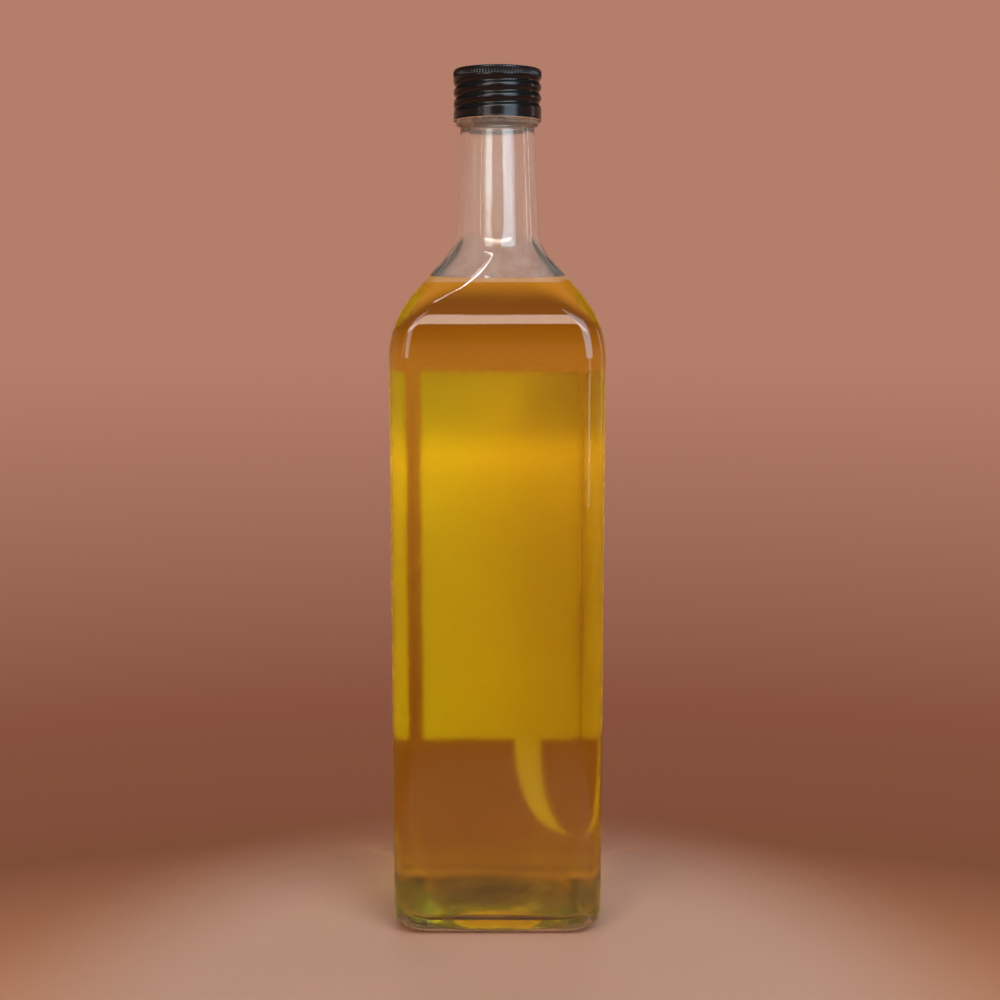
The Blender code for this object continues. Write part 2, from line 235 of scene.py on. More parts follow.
# The floor, pale round the bottle and fading into the backdrop about its own middle
FLOOR_COLOUR = (0.44, 0.25, 0.175)
FLOOR_ROUGHNESS = 0.6
FLOOR_RADIUS = 0.6
FLOOR_SIDES = 96
FLOOR_MIDDLE_Y = -95.0 * MM
FLOOR_FADE_FROM = 95.0 * MM
FLOOR_FADE_TO = 190.0 * MM

# The backdrop's colour at heights in degrees above the level
BACKDROP = (
    (-60, (0.62, 0.30, 0.17)),
    (-32, (0.66, 0.31, 0.16)),
    (-22, (0.21, 0.075, 0.040)),
    (-17, (0.24, 0.085, 0.050)),
    (-3, (0.45, 0.210, 0.147)),
    (13, (0.45, 0.210, 0.147)),
    (20, (0.04, 0.025, 0.018)),
    (34, (0.04, 0.025, 0.018)),
    (50, (0.15, 0.14, 0.135)),
)

# Soft lights: name, degrees round to the right of the front, degrees up, then in metres the
# distance, the shift to the right, the width and the height, then brightness and colour
SOFTBOXES = (
    ("window", 34, 31, 1.2, 0.0, 0.72, 1.25, 5.0, (0.60, 0.82, 1.0)),
    ("window_low", 35, -2, 1.2, 0.0, 0.20, 0.26, 2.0, (1.0, 0.93, 0.88)),
    ("left_soft", -27, 31, 1.2, 0.0, 0.38, 1.25, 3.2, (1.0, 0.97, 0.95)),
    ("warm_strip", -48, 18, 1.2, 0.0, 0.03, 0.62, 7.0, (1.0, 0.86, 0.70)),
    ("right_strip", 106, 14, 1.2, 0.0, 0.06, 0.8, 4.0, (1.0, 0.84, 0.78)),
    ("shoulder_strip", 0, 44, 1.1, 0.0, 1.4, 0.19, 7.5, (1.0, 0.84, 0.72)),
    ("overhead_tube", 0, 81, 1.2, -0.18, 0.30, 0.045, 18.0, (1.0, 0.97, 0.94)),
    ("rear_top", 180, 56, 1.2, 0.0, 0.7, 0.5, 2.5, (1.0, 0.96, 0.92)),
)
NOT_SEEN_THROUGH_GLASS = ("rear_top",)
LIGHTS_AIM_Z = 149.0 * MM

# How often light may bounce, with enough turns for glass round oil
MOST_BOUNCES = 20
GLOSSY_BOUNCES = 6
DIFFUSE_BOUNCES = 4
TRANSPARENT_BOUNCES = 12


def mix(low, high, share):
    """The value at that share of the way from low to high."""
    return low + (high - low) * share


def smooth_share(value, low, high):
    """0 at low, 1 at high, easing in and out between them."""
    share = min(max((value - low) / (high - low), 0.0), 1.0)
    return share * share * (3 - 2 * share)


# Shapes

def quarter_angles(roundness):
    """Directions of a section's points over a quarter turn, close together at a tight corner."""
    straight = 1 - roundness
    square = []
    for step in range(FLAT_STEPS):
        square.append(math.atan(straight * step / FLAT_STEPS))
    for step in range(CORNER_STEPS + 1):
        turn = QUARTER_TURN * step / CORNER_STEPS
        across = straight + roundness * math.cos(turn)
        along = straight + roundness * math.sin(turn)
        square.append(math.atan2(along, across))
    for step in range(FLAT_STEPS - 1, 0, -1):
        square.append(QUARTER_TURN - math.atan(straight * step / FLAT_STEPS))
    blend = min(max((roundness - BODY_ROUNDNESS) / (1 - BODY_ROUNDNESS), 0.0), 1.0)
    even = [QUARTER_TURN * step / len(square) for step in range(len(square))]
    return [mix(tight, plain, blend) for tight, plain in zip(square, even)]


def reach(angle, half, corner):
    """Distance from the middle to a rounded square of that half-width and corner radius."""
    large = max(abs(math.cos(angle)), abs(math.sin(angle)))
    small = min(abs(math.cos(angle)), abs(math.sin(angle)))
    centre = half - corner
    if half * small / large <= centre:
        return half / large
    along = centre * (large + small)
    return along + math.sqrt(along * along - 2 * centre * centre + corner * corner)


def section(half, roundness):
    """The points of one level section, from the +X direction round to it again."""
    points = []
    for quarter in range(4):
        for angle in quarter_angles(roundness):
            turned = angle + QUARTER_TURN * quarter
            far = reach(turned, half, half * roundness)
            points.append((far * math.cos(turned), far * math.sin(turned)))
    return points


def loft(mesh_data, stations):
    """A closed skin over stations of (half-width, z, roundness), with a pole at each end."""
    rings = []
    for half, z, roundness in stations[1:-1]:
        rings.append([mesh_data.verts.new((x, y, z)) for x, y in section(half, roundness)])
    first = mesh_data.verts.new((0, 0, stations[0][1]))
    last = mesh_data.verts.new((0, 0, stations[-1][1]))
    count = len(rings[0])
    for column in range(count):
        following = (column + 1) % count
        mesh_data.faces.new((first, rings[0][following], rings[0][column]))
        for low, high in zip(rings, rings[1:]):
            mesh_data.faces.new((low[column], low[following], high[following], high[column]))
        mesh_data.faces.new((last, rings[-1][column], rings[-1][following]))
    return rings


def fillet(before, corner, after, radius, steps):
    """Points of an arc that rounds the corner of an outline with that radius."""
    ways = []
    for end in (before, after):
        length = math.hypot(end[0] - corner[0], end[1] - corner[1])
        ways.append(((end[0] - corner[0]) / length, (end[1] - corner[1]) / length))
    opening = math.acos(ways[0][0] * ways[1][0] + ways[0][1] * ways[1][1])
    back = radius / math.tan(opening / 2)
    bisector = (ways[0][0] + ways[1][0], ways[0][1] + ways[1][1])
    size = math.hypot(*bisector)
    away = radius / math.sin(opening / 2)
    centre = (corner[0] + bisector[0] / size * away, corner[1] + bisector[1] / size * away)
    start = (corner[0] + ways[0][0] * back, corner[1] + ways[0][1] * back)
    finish = (corner[0] + ways[1][0] * back, corner[1] + ways[1][1] * back)
    first = math.atan2(start[1] - centre[1], start[0] - centre[0])
    turn = math.atan2(finish[1] - centre[1], finish[0] - centre[0]) - first
    turn = (turn + math.pi) % FULL_TURN - math.pi
    points = []
    for step in range(steps + 1):
        angle = first + turn * step / steps
        points.append((centre[0] + radius * math.cos(angle), centre[1] + radius * math.sin(angle)))
    return points


def body_outline(inset):
    """Outline (half-width, z) of the straight body, shoulder and neck, moved inwards by inset."""
    slope = math.atan2(NECK_ROOT_Z - SHOULDER_CORNER_Z, BODY_HALF - NECK_ROOT_RADIUS)
    lean = math.atan2(NECK_ROOT_RADIUS - NECK_TOP_RADIUS, NECK_TOP_Z - NECK_ROOT_Z)
    shoulder_drop = inset * math.tan((QUARTER_TURN - slope) / 2)
    neck_drop = inset * math.tan((QUARTER_TURN - slope - lean) / 2)
    low = (BODY_HALF - inset, HEEL_RADIUS)
    shoulder = (BODY_HALF - inset, SHOULDER_CORNER_Z - shoulder_drop)
    root = (NECK_ROOT_RADIUS - inset, NECK_ROOT_Z - neck_drop)
    top = (NECK_TOP_RADIUS - inset, NECK_TOP_Z)
    curve = fillet(low, shoulder, root, SHOULDER_RADIUS - inset, SHOULDER_STEPS)
    points = []
    for step in range(1, WALL_STEPS):
        share = step / WALL_STEPS
        points.append((low[0], mix(low[1] + INNER_HEEL_RADIUS, curve[0][1], share)))
    points += curve
    bend = fillet(shoulder, root, top, NECK_ROOT_FILLET + inset, FILLET_STEPS)
    for step in range(1, CONE_STEPS):
        share = step / CONE_STEPS
        points.append((mix(curve[-1][0], bend[0][0], share), mix(curve[-1][1], bend[0][1], share)))
    points += bend
    start = points[-1]
    for step in range(1, NECK_STEPS + 1):
        share = step / NECK_STEPS
        points.append((mix(start[0], top[0], share), mix(start[1], top[1], share)))
    return points


def roundness_at(z, inset):
    """Corner radius over half-width of the section at that height, for a skin set in by inset."""
    share = smooth_share(z, SQUARE_TOP_Z, ROUND_FROM_Z)
    square = (BODY_CORNER - inset) / (BODY_HALF - inset)
    return mix(square, 1.0, share)


def body_stations(inset):
    """Stations of the straight body, shoulder and neck, for a skin set in by inset."""
    return [(half, z, roundness_at(z, inset)) for half, z in body_outline(inset)]


def heel_stations(half, floor_z, radius, roundness):
    """Stations of a rounded bottom edge, from the floor outwards and up to the wall."""
    stations = []
    for step in range(HEEL_STEPS + 1):
        turn = QUARTER_TURN * step / HEEL_STEPS
        across = half - radius + radius * math.sin(turn)
        z = floor_z + radius - radius * math.cos(turn)
        stations.append((across, z, mix(HEEL_ROUNDNESS, roundness, step / HEEL_STEPS)))
    return stations


def dome_stations(half, floor_z, height):
    """Stations of the push-up's broad dome, from its middle out to the rounded-square edge."""
    stations = [(0, floor_z + height, 1.0)]
    for step in range(1, PUNT_STEPS + 1):
        share = step / PUNT_STEPS
        z = floor_z + height * (1 - share**PUNT_SHAPE)
        stations.append((half * share, z, mix(1.0, HEEL_ROUNDNESS, share * share)))
    return stations


def inner_stations(clearance):
    """Stations of the hollow's skin from the middle of its floor up to the neck's top."""
    inset = WALL + clearance
    half = BODY_HALF - inset
    floor_z = FLOOR_THICKNESS + clearance
    roundness = (BODY_CORNER - inset) / half
    radius = INNER_HEEL_RADIUS - clearance
    stations = dome_stations(half - radius, floor_z, PUNT_HEIGHT)
    stations += heel_stations(half, floor_z, radius, roundness)[1:]
    return stations + body_stations(inset)


def finish_stations():
    """Stations of the collar bead, the barrel inside the cap and the rounded lip."""
    stations = []
    middle = (BEAD_LOW_Z + BEAD_HIGH_Z) / 2
    reach_z = BEAD_TOP_Z - middle
    for step in range(1, 2 * ROUND_STEPS):
        turn = math.radians(-90 + 90 * step / ROUND_STEPS)
        share = math.cos(turn) ** BEAD_FULLNESS
        low_radius = NECK_TOP_RADIUS if turn < 0 else BARREL_RADIUS
        z = max(middle + reach_z * math.sin(turn), NECK_TOP_Z + BEAD_CLEARANCE)
        stations.append((mix(low_radius, BEAD_RADIUS, share), z, 1.0))
    stations.append((BARREL_RADIUS, BEAD_TOP_Z, 1.0))
    for step in range(ROUND_STEPS + 1):
        turn = QUARTER_TURN * step / ROUND_STEPS
        half = BARREL_RADIUS - LIP_ROUND + LIP_ROUND * math.cos(turn)
        stations.append((half, LIP_Z - LIP_ROUND + LIP_ROUND * math.sin(turn), 1.0))
    return stations


def to_piece(name, mesh_data, materials):
    """Turns a bmesh into a smooth-shaded piece that rides on the bottle."""
    bmesh.ops.recalc_face_normals(mesh_data, faces=mesh_data.faces)
    mesh = bpy.data.meshes.new(name)
    mesh_data.to_mesh(mesh)
    mesh_data.free()
    for material in materials:
        mesh.materials.append(material)
    mesh.shade_smooth()
    piece = bpy.data.objects.new(name, mesh)
    bpy.context.collection.objects.link(piece)
    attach(piece, "root")
    return piece


def wave(rings, depth, per_metre, seed):
    """Moves the rings' vertices along their normals by a slow noise, as blown glass is uneven."""
    offset = Vector((seed, 2 * seed, 3 * seed))
    for ring in rings:
        for vertex in ring:
            swing = noise.noise(vertex.co * per_metre + offset)
            vertex.co += vertex.normal * (depth * swing)


def make_glass(clear, wetted, hazed):
    """The hollow glass, with an uneven inner wall and fine grip ridges under the bearing ring."""
    bore = NECK_TOP_RADIUS - WALL
    outside = dome_stations(PUNT_HALF, 0.0, PUNT_HEIGHT)
    outside += heel_stations(BODY_HALF, 0.0, HEEL_RADIUS, BODY_ROUNDNESS)
    outside += body_stations(0.0)
    finish = finish_stations()
    finish.append((bore + LIP_ROUND, LIP_Z, 1.0))
    finish.append((bore, LIP_Z - LIP_ROUND, 1.0))
    inside = list(reversed(inner_stations(0.0)))
    mesh_data = bmesh.new()
    rings = loft(mesh_data, outside + finish + inside)
    mesh_data.normal_update()
    outer_rings = rings[PUNT_STEPS + HEEL_STEPS : len(outside) - 1]
    wave(outer_rings, *OUTER_WAVE)
    inner_rings = rings[len(outside) + len(finish) :]
    wave(inner_rings, *INNER_WAVE)
    for ring in rings[PUNT_STEPS - 1 : PUNT_STEPS + 1]:
        for vertex in ring[::2]:
            vertex.co.z += GRIP_RIDGE
    inner = {vertex for ring in inner_rings for vertex in ring}
    for face in mesh_data.faces:
        is_inner = any(vertex in inner for vertex in face.verts)
        is_dry = face.calc_center_median().z > OIL_LEVEL_Z
        if is_dry:
            face.material_index = CLEAR if is_inner else HAZED
        else:
            face.material_index = WETTED if is_inner else CLEAR
    piece = to_piece("glass_shell", mesh_data, [clear, wetted, hazed])
    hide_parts("bottle_glass")


def make_oil(side, surface):
    """The oil, reaching just into the wall, with a meniscus round its level surface."""
    rows = inner_stations(-OIL_REACH)
    edge_z = OIL_LEVEL_Z + MENISCUS_HEIGHT
    below = [row for row in rows if row[1] < edge_z]
    above = next(row for row in rows[PUNT_STEPS + HEEL_STEPS :] if row[1] >= edge_z)
    share = (edge_z - below[-1][1]) / (above[1] - below[-1][1])
    half = mix(below[-1][0], above[0], share)
    roundness = mix(below[-1][2], above[2], share)
    stations = below + [(half, edge_z, roundness)]
    for step in range(1, MENISCUS_STEPS + 1):
        share = step / MENISCUS_STEPS
        across = half - OIL_REACH - MENISCUS_WIDTH * share
        lift = MENISCUS_HEIGHT * (1 - share) ** 2
        stations.append((across, OIL_LEVEL_Z + lift, mix(roundness, 1.0, share * MENISCUS_ROUNDING)))
    stations.append((half / 2, OIL_LEVEL_Z, 1.0))
    stations.append((0, OIL_LEVEL_Z, 1.0))
    mesh_data = bmesh.new()
    rings = loft(mesh_data, stations)
    side_vertices = {vertex for ring in rings[: len(below) - 1] for vertex in ring}
    for face in mesh_data.faces:
        is_side = any(vertex in side_vertices for vertex in face.verts)
        face.material_index = OIL_SIDE if is_side else OIL_SURFACE
    piece = to_piece("golden_oil", mesh_data, [side, surface])
    piece.data.set_sharp_from_angle(angle=SHARP_ANGLE)
    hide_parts("oil")


def wall_at(z):
    """Half-width and roundness of the hollow's wall at that height."""
    rows = body_stations(WALL)
    for low, high in zip(rows, rows[1:]):
        if low[1] <= z < high[1]:
            share = (z - low[1]) / (high[1] - low[1])
            return mix(low[0], high[0], share), mix(low[2], high[2], share)
    return rows[-1][0], rows[-1][2]


def make_drops(surface):
    """Small drops of oil that cling to the hollow's wall above the level."""
    draw = random.Random(DROP_SEED)
    mesh_data = bmesh.new()
    for drop in range(DROP_COUNT):
        z = OIL_LEVEL_Z + mix(DROP_RISE_LOW, DROP_RISE_HIGH, draw.random() ** 2)
        angle = draw.uniform(0, FULL_TURN)
        size = mix(DROP_RADIUS_LOW, DROP_RADIUS_HIGH, draw.random() ** 2)
        half, roundness = wall_at(z)
        far = reach(angle, half, half * roundness)
        grown = bmesh.ops.create_uvsphere(
            mesh_data, u_segments=DROP_COLUMNS, v_segments=DROP_ROWS, radius=size
        )
        along = Vector((math.cos(angle), math.sin(angle), 0))
        for vertex in grown["verts"]:
            depth = vertex.co.dot(along)
            vertex.co -= along * depth * (1 - DROP_FLATNESS)
            vertex.co += along * far + Vector((0, 0, z))
    piece = to_piece("oil_drops", mesh_data, [surface])


def groove_depth(angle, z):
    """How deep the rolled thread groove is there. It climbs to the right as seen from outside."""
    front_turn = ((angle + QUARTER_TURN) / FULL_TURN) % 1.0
    if front_turn > 0.5:
        front_turn -= 1.0
    depth = 0.0
    for whole in range(math.floor(GROOVE_FIRST_TURN), math.ceil(GROOVE_LAST_TURN) + 1):
        turn = whole + front_turn
        inside = min(turn - GROOVE_FIRST_TURN, GROOVE_LAST_TURN - turn)
        fade = smooth_share(inside, 0.0, GROOVE_FADE_TURNS)
        off = (z - GROOVE_FRONT_Z - GROOVE_PITCH * turn) / GROOVE_HALF_WIDTH
        depth = max(depth, GROOVE_DEPTH * fade * math.exp(-off * off))
    return depth


def cap_outline():
    """Rows of the cap's skin as (radius, z, share of groove, share of knurl), inside to top."""
    rows = [(CAP_BARREL_INNER, CAP_CEILING_Z, 0, 0), (CAP_BARREL_INNER, CAP_STEP_HIGH_Z, 0, 0)]
    rows.append((CAP_SKIRT_INNER, CAP_STEP_LOW_Z, 0, 0))
    middle = (CAP_SKIRT_INNER + CAP_RADIUS + RIM_SWELL) / 2
    half_wall = (CAP_RADIUS + RIM_SWELL - CAP_SKIRT_INNER) / 2
    for step in range(2 * ROUND_STEPS + 1):
        turn = math.radians(180 + 90 * step / ROUND_STEPS)
        radius = middle + half_wall * math.cos(turn)
        rows.append((radius, CAP_LOW_Z + RIM_ROLL + RIM_ROLL * math.sin(turn), 0, 0))
    for step in range(1, ROUND_STEPS + 1):
        share = step / ROUND_STEPS
        swell = RIM_SWELL * (1 - smooth_share(share, 0, 1))
        rows.append((CAP_RADIUS + swell, CAP_LOW_Z + RIM_ROLL * (1 + share), 0, 0))
    for row in range(GROOVE_ROWS + 1):
        z = mix(GROOVE_ZONE_LOW_Z, GROOVE_ZONE_HIGH_Z, row / GROOVE_ROWS)
        rows.append((CAP_RADIUS, z, 1, 0))
    for row in range(KNURL_ROWS + 1):
        share = row / KNURL_ROWS
        z = mix(KNURL_LOW_Z, KNURL_HIGH_Z, share)
        knurled = math.sin(math.pi * share) ** KNURL_FULLNESS if 0 < share < 1 else 0
        rows.append((CAP_RADIUS, z, 0, knurled))
    for step in range(1, ROUND_STEPS + 1):
        turn = QUARTER_TURN * step / ROUND_STEPS
        radius = CAP_RADIUS - CAP_TOP_ROUND + CAP_TOP_ROUND * math.cos(turn)
        rows.append((radius, CAP_TOP_Z - CAP_TOP_ROUND + CAP_TOP_ROUND * math.sin(turn), 0, 0))
    rows.append((CAP_RADIUS / 2, CAP_TOP_Z, 0, 0))
    return rows


def make_cap(lacquer, bare_metal):
    """The roll-on cap: knurled top edge, thread groove, plain skirt and rolled lower rim."""
    mesh_data = bmesh.new()
    rings = []
    for radius, z, grooved, knurled in cap_outline():
        ring = []
        for column in range(CAP_COLUMNS):
            angle = FULL_TURN * column / CAP_COLUMNS
            here = radius
            if grooved:
                here -= groove_depth(angle, z)
            if knurled:
                dip = (1 + math.cos(KNURL_COUNT * angle)) / 2
                here -= KNURL_DEPTH * knurled * dip
            ring.append(mesh_data.verts.new((here * math.cos(angle), here * math.sin(angle), z)))
        rings.append(ring)
    for low, high in zip(rings, rings[1:]):
        for column in range(CAP_COLUMNS):
            following = (column + 1) % CAP_COLUMNS
            mesh_data.faces.new((low[column], low[following], high[following], high[column]))
    for ring, z in ((rings[0], CAP_CEILING_Z), (rings[-1], CAP_TOP_Z)):
        middle = mesh_data.verts.new((0, 0, z))
        for column in range(CAP_COLUMNS):
            mesh_data.faces.new((middle, ring[column], ring[(column + 1) % CAP_COLUMNS]))
    rim_z = CAP_LOW_Z + RIM_ROLL * BARE_RIM_SHARE
    inner_radius = CAP_SKIRT_INNER + BARE_INSIDE_MARGIN
    for face in mesh_data.faces:
        centre = face.calc_center_median()
        is_rim = centre.z < rim_z
        is_inside = math.hypot(centre.x, centre.y) < inner_radius and centre.z < CAP_STEP_LOW_Z
        face.material_index = BARE if is_rim or is_inside else LACQUERED
    piece = to_piece("screw_cap", mesh_data, [lacquer, bare_metal])
    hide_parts("cap")


def corner_arc(x, z, first_degrees):
    """Points of a quarter arc of the label's corner, about that centre."""
    points = []
    for step in range(LABEL_ROUND_STEPS + 1):
        turn = math.radians(first_degrees + 90 * step / LABEL_ROUND_STEPS)
        points.append((x + LABEL_ROUND * math.cos(turn), z + LABEL_ROUND * math.sin(turn)))
    return points


def tail_side(root_x, tip_x):
    """One curved side of the label's tail, from its root down to its tip."""
    points = []
    for step in range(TAIL_STEPS + 1):
        turn = QUARTER_TURN * step / TAIL_STEPS
        x = root_x + (tip_x - root_x) * (1 - math.cos(turn))
        points.append((x, mix(LABEL_LOW_Z, TAIL_LOW_Z, math.sin(turn))))
    return points


def cut_along(mesh_data, x):
    """Splits a flat sheet along the upright line at that x."""
    whole = list(mesh_data.verts) + list(mesh_data.edges) + list(mesh_data.faces)
    bmesh.ops.bisect_plane(mesh_data, geom=whole, plane_co=(x, 0, 0), plane_no=(1, 0, 0))


def bend_round_corner(vertices):
    """Turns what reaches past the rear face's flat part round the body's rear right corner."""
    flat = BODY_HALF - BODY_CORNER
    for vertex in vertices:
        past = vertex.co.x - flat
        if past > 0:
            radius = vertex.co.y - flat
            vertex.co.x = flat + radius * math.sin(past / BODY_CORNER)
            vertex.co.y = flat + radius * math.cos(past / BODY_CORNER)


def make_label(inner_paper, outer_paper):
    """The paper label, flat on the rear face and just round its right corner, with a curved tail."""
    left = LABEL_LEFT_X + LABEL_ROUND
    right = LABEL_RIGHT_X - LABEL_ROUND
    low = LABEL_LOW_Z + LABEL_ROUND
    high = LABEL_HIGH_Z - LABEL_ROUND
    outline = corner_arc(right, high, 0) + corner_arc(left, high, 90) + corner_arc(left, low, 180)
    outline += tail_side(TAIL_ROOT_LEFT_X, TAIL_TIP_X - TAIL_TIP_HALF_WIDTH)
    outline += reversed(tail_side(TAIL_ROOT_RIGHT_X, TAIL_TIP_X))
    outline += corner_arc(right, low, 270)
    mesh_data = bmesh.new()
    mesh_data.faces.new([mesh_data.verts.new((x, LABEL_INNER_Y, z)) for x, z in outline])
    flat = BODY_HALF - BODY_CORNER
    for step in range(LABEL_BEND_STEPS):
        cut_along(mesh_data, mix(flat, LABEL_RIGHT_X, step / LABEL_BEND_STEPS))
    grown = bmesh.ops.extrude_face_region(mesh_data, geom=list(mesh_data.faces))
    moved = [part for part in grown["geom"] if isinstance(part, bmesh.types.BMVert)]
    bmesh.ops.translate(mesh_data, verts=moved, vec=(0, LABEL_OUTER_Y - LABEL_INNER_Y, 0))
    middle_y = (LABEL_INNER_Y + LABEL_OUTER_Y) / 2
    for face in mesh_data.faces:
        is_inner = face.calc_center_median().y < middle_y
        face.material_index = INNER_PAPER if is_inner else OUTER_PAPER
    bend_round_corner(mesh_data.verts)
    piece = to_piece("paper_label", mesh_data, [inner_paper, outer_paper])
    piece.data.set_sharp_from_angle(angle=SHARP_ANGLE)
    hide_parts("label")


# Materials

def new_material(name):
    """A material with its Principled node, its node tree and its output."""
    material = bpy.data.materials.new(name)
    material.use_nodes = True
    tree = material.node_tree
    return material, tree, tree.nodes["Principled BSDF"], tree.nodes["Material Output"]


def add_absorption(tree, output, colour, density):
    """Tints what passes through the volume, more the further it goes."""
    volume = tree.nodes.new("ShaderNodeVolumeAbsorption")
    volume.inputs["Color"].default_value = (*colour, 1)
    volume.inputs["Density"].default_value = density
    tree.links.new(volume.outputs["Volume"], output.inputs["Volume"])


def add_noise(tree, scale, detail, roughness=0.5, stretch=(1.0, 1.0, 1.0)):
    """A noise value in the object's own metres, finer along an axis where stretch is larger."""
    place = tree.nodes.new("ShaderNodeTexCoord")
    sized = tree.nodes.new("ShaderNodeVectorMath")
    sized.operation = "MULTIPLY"
    sized.inputs[1].default_value = stretch
    tree.links.new(place.outputs["Object"], sized.inputs[0])
    node = tree.nodes.new("ShaderNodeTexNoise")
    node.inputs["Scale"].default_value = scale
    node.inputs["Detail"].default_value = detail
    node.inputs["Roughness"].default_value = roughness
    tree.links.new(sized.outputs["Vector"], node.inputs["Vector"])
    return node.outputs["Fac"]


def add_range(tree, source, low, high, from_low=0.0, from_high=1.0):
    """Maps a value to between low and high."""
    node = tree.nodes.new("ShaderNodeMapRange")
    node.inputs["From Min"].default_value = from_low
    node.inputs["From Max"].default_value = from_high
    node.inputs["To Min"].default_value = low
    node.inputs["To Max"].default_value = high
    tree.links.new(source, node.inputs["Value"])
    return node.outputs["Result"]


def add_bump(tree, shader, height, strength, distance):
    """Fine relief from a height value."""
    node = tree.nodes.new("ShaderNodeBump")
    node.inputs["Strength"].default_value = strength
    node.inputs["Distance"].default_value = distance
    tree.links.new(height, node.inputs["Height"])
    tree.links.new(node.outputs["Normal"], shader.inputs["Normal"])


def glass_material(name, wetted):
    """Clear glass. Where oil wets it, it mirrors nothing and blurs a little what lies behind."""
    material, tree, shader, output = new_material(name)
    shader.inputs["Base Color"].default_value = (1, 1, 1, 1)
    shader.inputs["Transmission Weight"].default_value = 1.0
    shader.inputs["IOR"].default_value = GLASS_IOR
    if wetted:
        shader.inputs["Specular Tint"].default_value = (0, 0, 0, 1)
    ripple = add_noise(tree, GLASS_RIPPLE_SCALE, detail=3)
    roughness = WETTED_ROUGHNESS if wetted else CLEAR_ROUGHNESS
    tree.links.new(add_range(tree, ripple, *roughness), shader.inputs["Roughness"])
    add_absorption(tree, output, GLASS_TINT, GLASS_TINT_DENSITY)
    return material


def hazed_glass_material():
    """Clear glass with a faint dull film of dried oil and dust, in streaks down the wall."""
    material, tree, shader, output = new_material("hazed_bottle_glass")
    shader.inputs["Base Color"].default_value = (*HAZE_COLOUR, 1)
    shader.inputs["IOR"].default_value = GLASS_IOR
    shader.inputs["Roughness"].default_value = 0.0
    streaks = add_noise(tree, HAZE_SCALE, detail=4, roughness=0.6, stretch=HAZE_STRETCH)
    clarity = add_range(tree, streaks, *HAZE_CLARITY, *HAZE_CONTRAST)
    tree.links.new(clarity, shader.inputs["Transmission Weight"])
    add_absorption(tree, output, GLASS_TINT, GLASS_TINT_DENSITY)
    return material


def oil_material(name, against_glass):
    """Clear golden oil, which mirrors nothing where it lies against the glass."""
    material, tree, shader, output = new_material(name)
    shader.inputs["Base Color"].default_value = (1, 1, 1, 1)
    shader.inputs["Transmission Weight"].default_value = 1.0
    shader.inputs["IOR"].default_value = OIL_IOR
    shader.inputs["Roughness"].default_value = 0.0
    if against_glass:
        shader.inputs["Specular Tint"].default_value = (0, 0, 0, 1)
    add_absorption(tree, output, OIL_COLOUR, OIL_DENSITY)
    return material


def lacquer_material():
    """Glossy black lacquer with a fine grain."""
    material, tree, shader, output = new_material("black_lacquer")
    shader.inputs["Base Color"].default_value = (*LACQUER_COLOUR, 1)
    shader.inputs["Specular IOR Level"].default_value = LACQUER_SPECULAR
    grain = add_noise(tree, LACQUER_GRAIN_SCALE, detail=4)
    tree.links.new(add_range(tree, grain, *LACQUER_ROUGHNESS), shader.inputs["Roughness"])
    add_bump(tree, shader, grain, *LACQUER_BUMP)
    return material


def bare_metal_material():
    """Unpainted aluminium, at the rolled rim and inside the skirt."""
    material, tree, shader, output = new_material("bare_aluminium")
    shader.inputs["Base Color"].default_value = (*METAL_COLOUR, 1)
    shader.inputs["Metallic"].default_value = 1.0
    grain = add_noise(tree, METAL_GRAIN_SCALE, detail=3)
    tree.links.new(add_range(tree, grain, *METAL_ROUGHNESS), shader.inputs["Roughness"])
    return material


def add_math(tree, operation, first, second=None):
    """A maths node on two values, each a socket or a number."""
    node = tree.nodes.new("ShaderNodeMath")
    node.operation = operation
    for place, value in enumerate((first, second)):
        if isinstance(value, (int, float)):
            node.inputs[place].default_value = value
        elif value is not None:
            tree.links.new(value, node.inputs[place])
    return node.outputs["Value"]


def add_field(tree, ground, mask, colour):
    """Prints a colour over the ground where the mask is 1."""
    node = tree.nodes.new("ShaderNodeMix")
    node.data_type = "RGBA"
    node.inputs["B"].default_value = (*colour, 1)
    tree.links.new(ground, node.inputs["A"])
    tree.links.new(mask, node.inputs["Factor"])
    return node.outputs["Result"]


def add_print(tree, ground):
    """Bands across the label and one plain round flower, as fields of colour."""
    place = tree.nodes.new("ShaderNodeTexCoord")
    split = tree.nodes.new("ShaderNodeSeparateXYZ")
    tree.links.new(place.outputs["Object"], split.inputs["Vector"])
    across = split.outputs["X"]
    height = split.outputs["Z"]
    for low, high, colour in PRINT_BANDS:
        above = add_math(tree, "GREATER_THAN", height, low)
        below = add_math(tree, "LESS_THAN", height, high)
        ground = add_field(tree, ground, add_math(tree, "MULTIPLY", above, below), colour)
    rise = add_math(tree, "SUBTRACT", height, FLOWER_Z)
    across_squared = add_math(tree, "POWER", across, 2)
    rise_squared = add_math(tree, "POWER", rise, 2)
    far = add_math(tree, "SQRT", add_math(tree, "ADD", across_squared, rise_squared))
    turn = add_math(tree, "MULTIPLY", add_math(tree, "ARCTAN2", rise, across), FLOWER_PETALS / 2)
    petal = add_math(tree, "ABSOLUTE", add_math(tree, "COSINE", turn))
    share = add_math(tree, "ADD", add_math(tree, "MULTIPLY", petal, FLOWER_CUT), 1 - FLOWER_CUT)
    edge = add_math(tree, "MULTIPLY", share, FLOWER_RADIUS)
    ground = add_field(tree, ground, add_math(tree, "LESS_THAN", far, edge), PRINT_GOLD)
    heart = add_math(tree, "LESS_THAN", far, FLOWER_HEART_RADIUS)
    return add_field(tree, ground, heart, PRINT_BROWN)


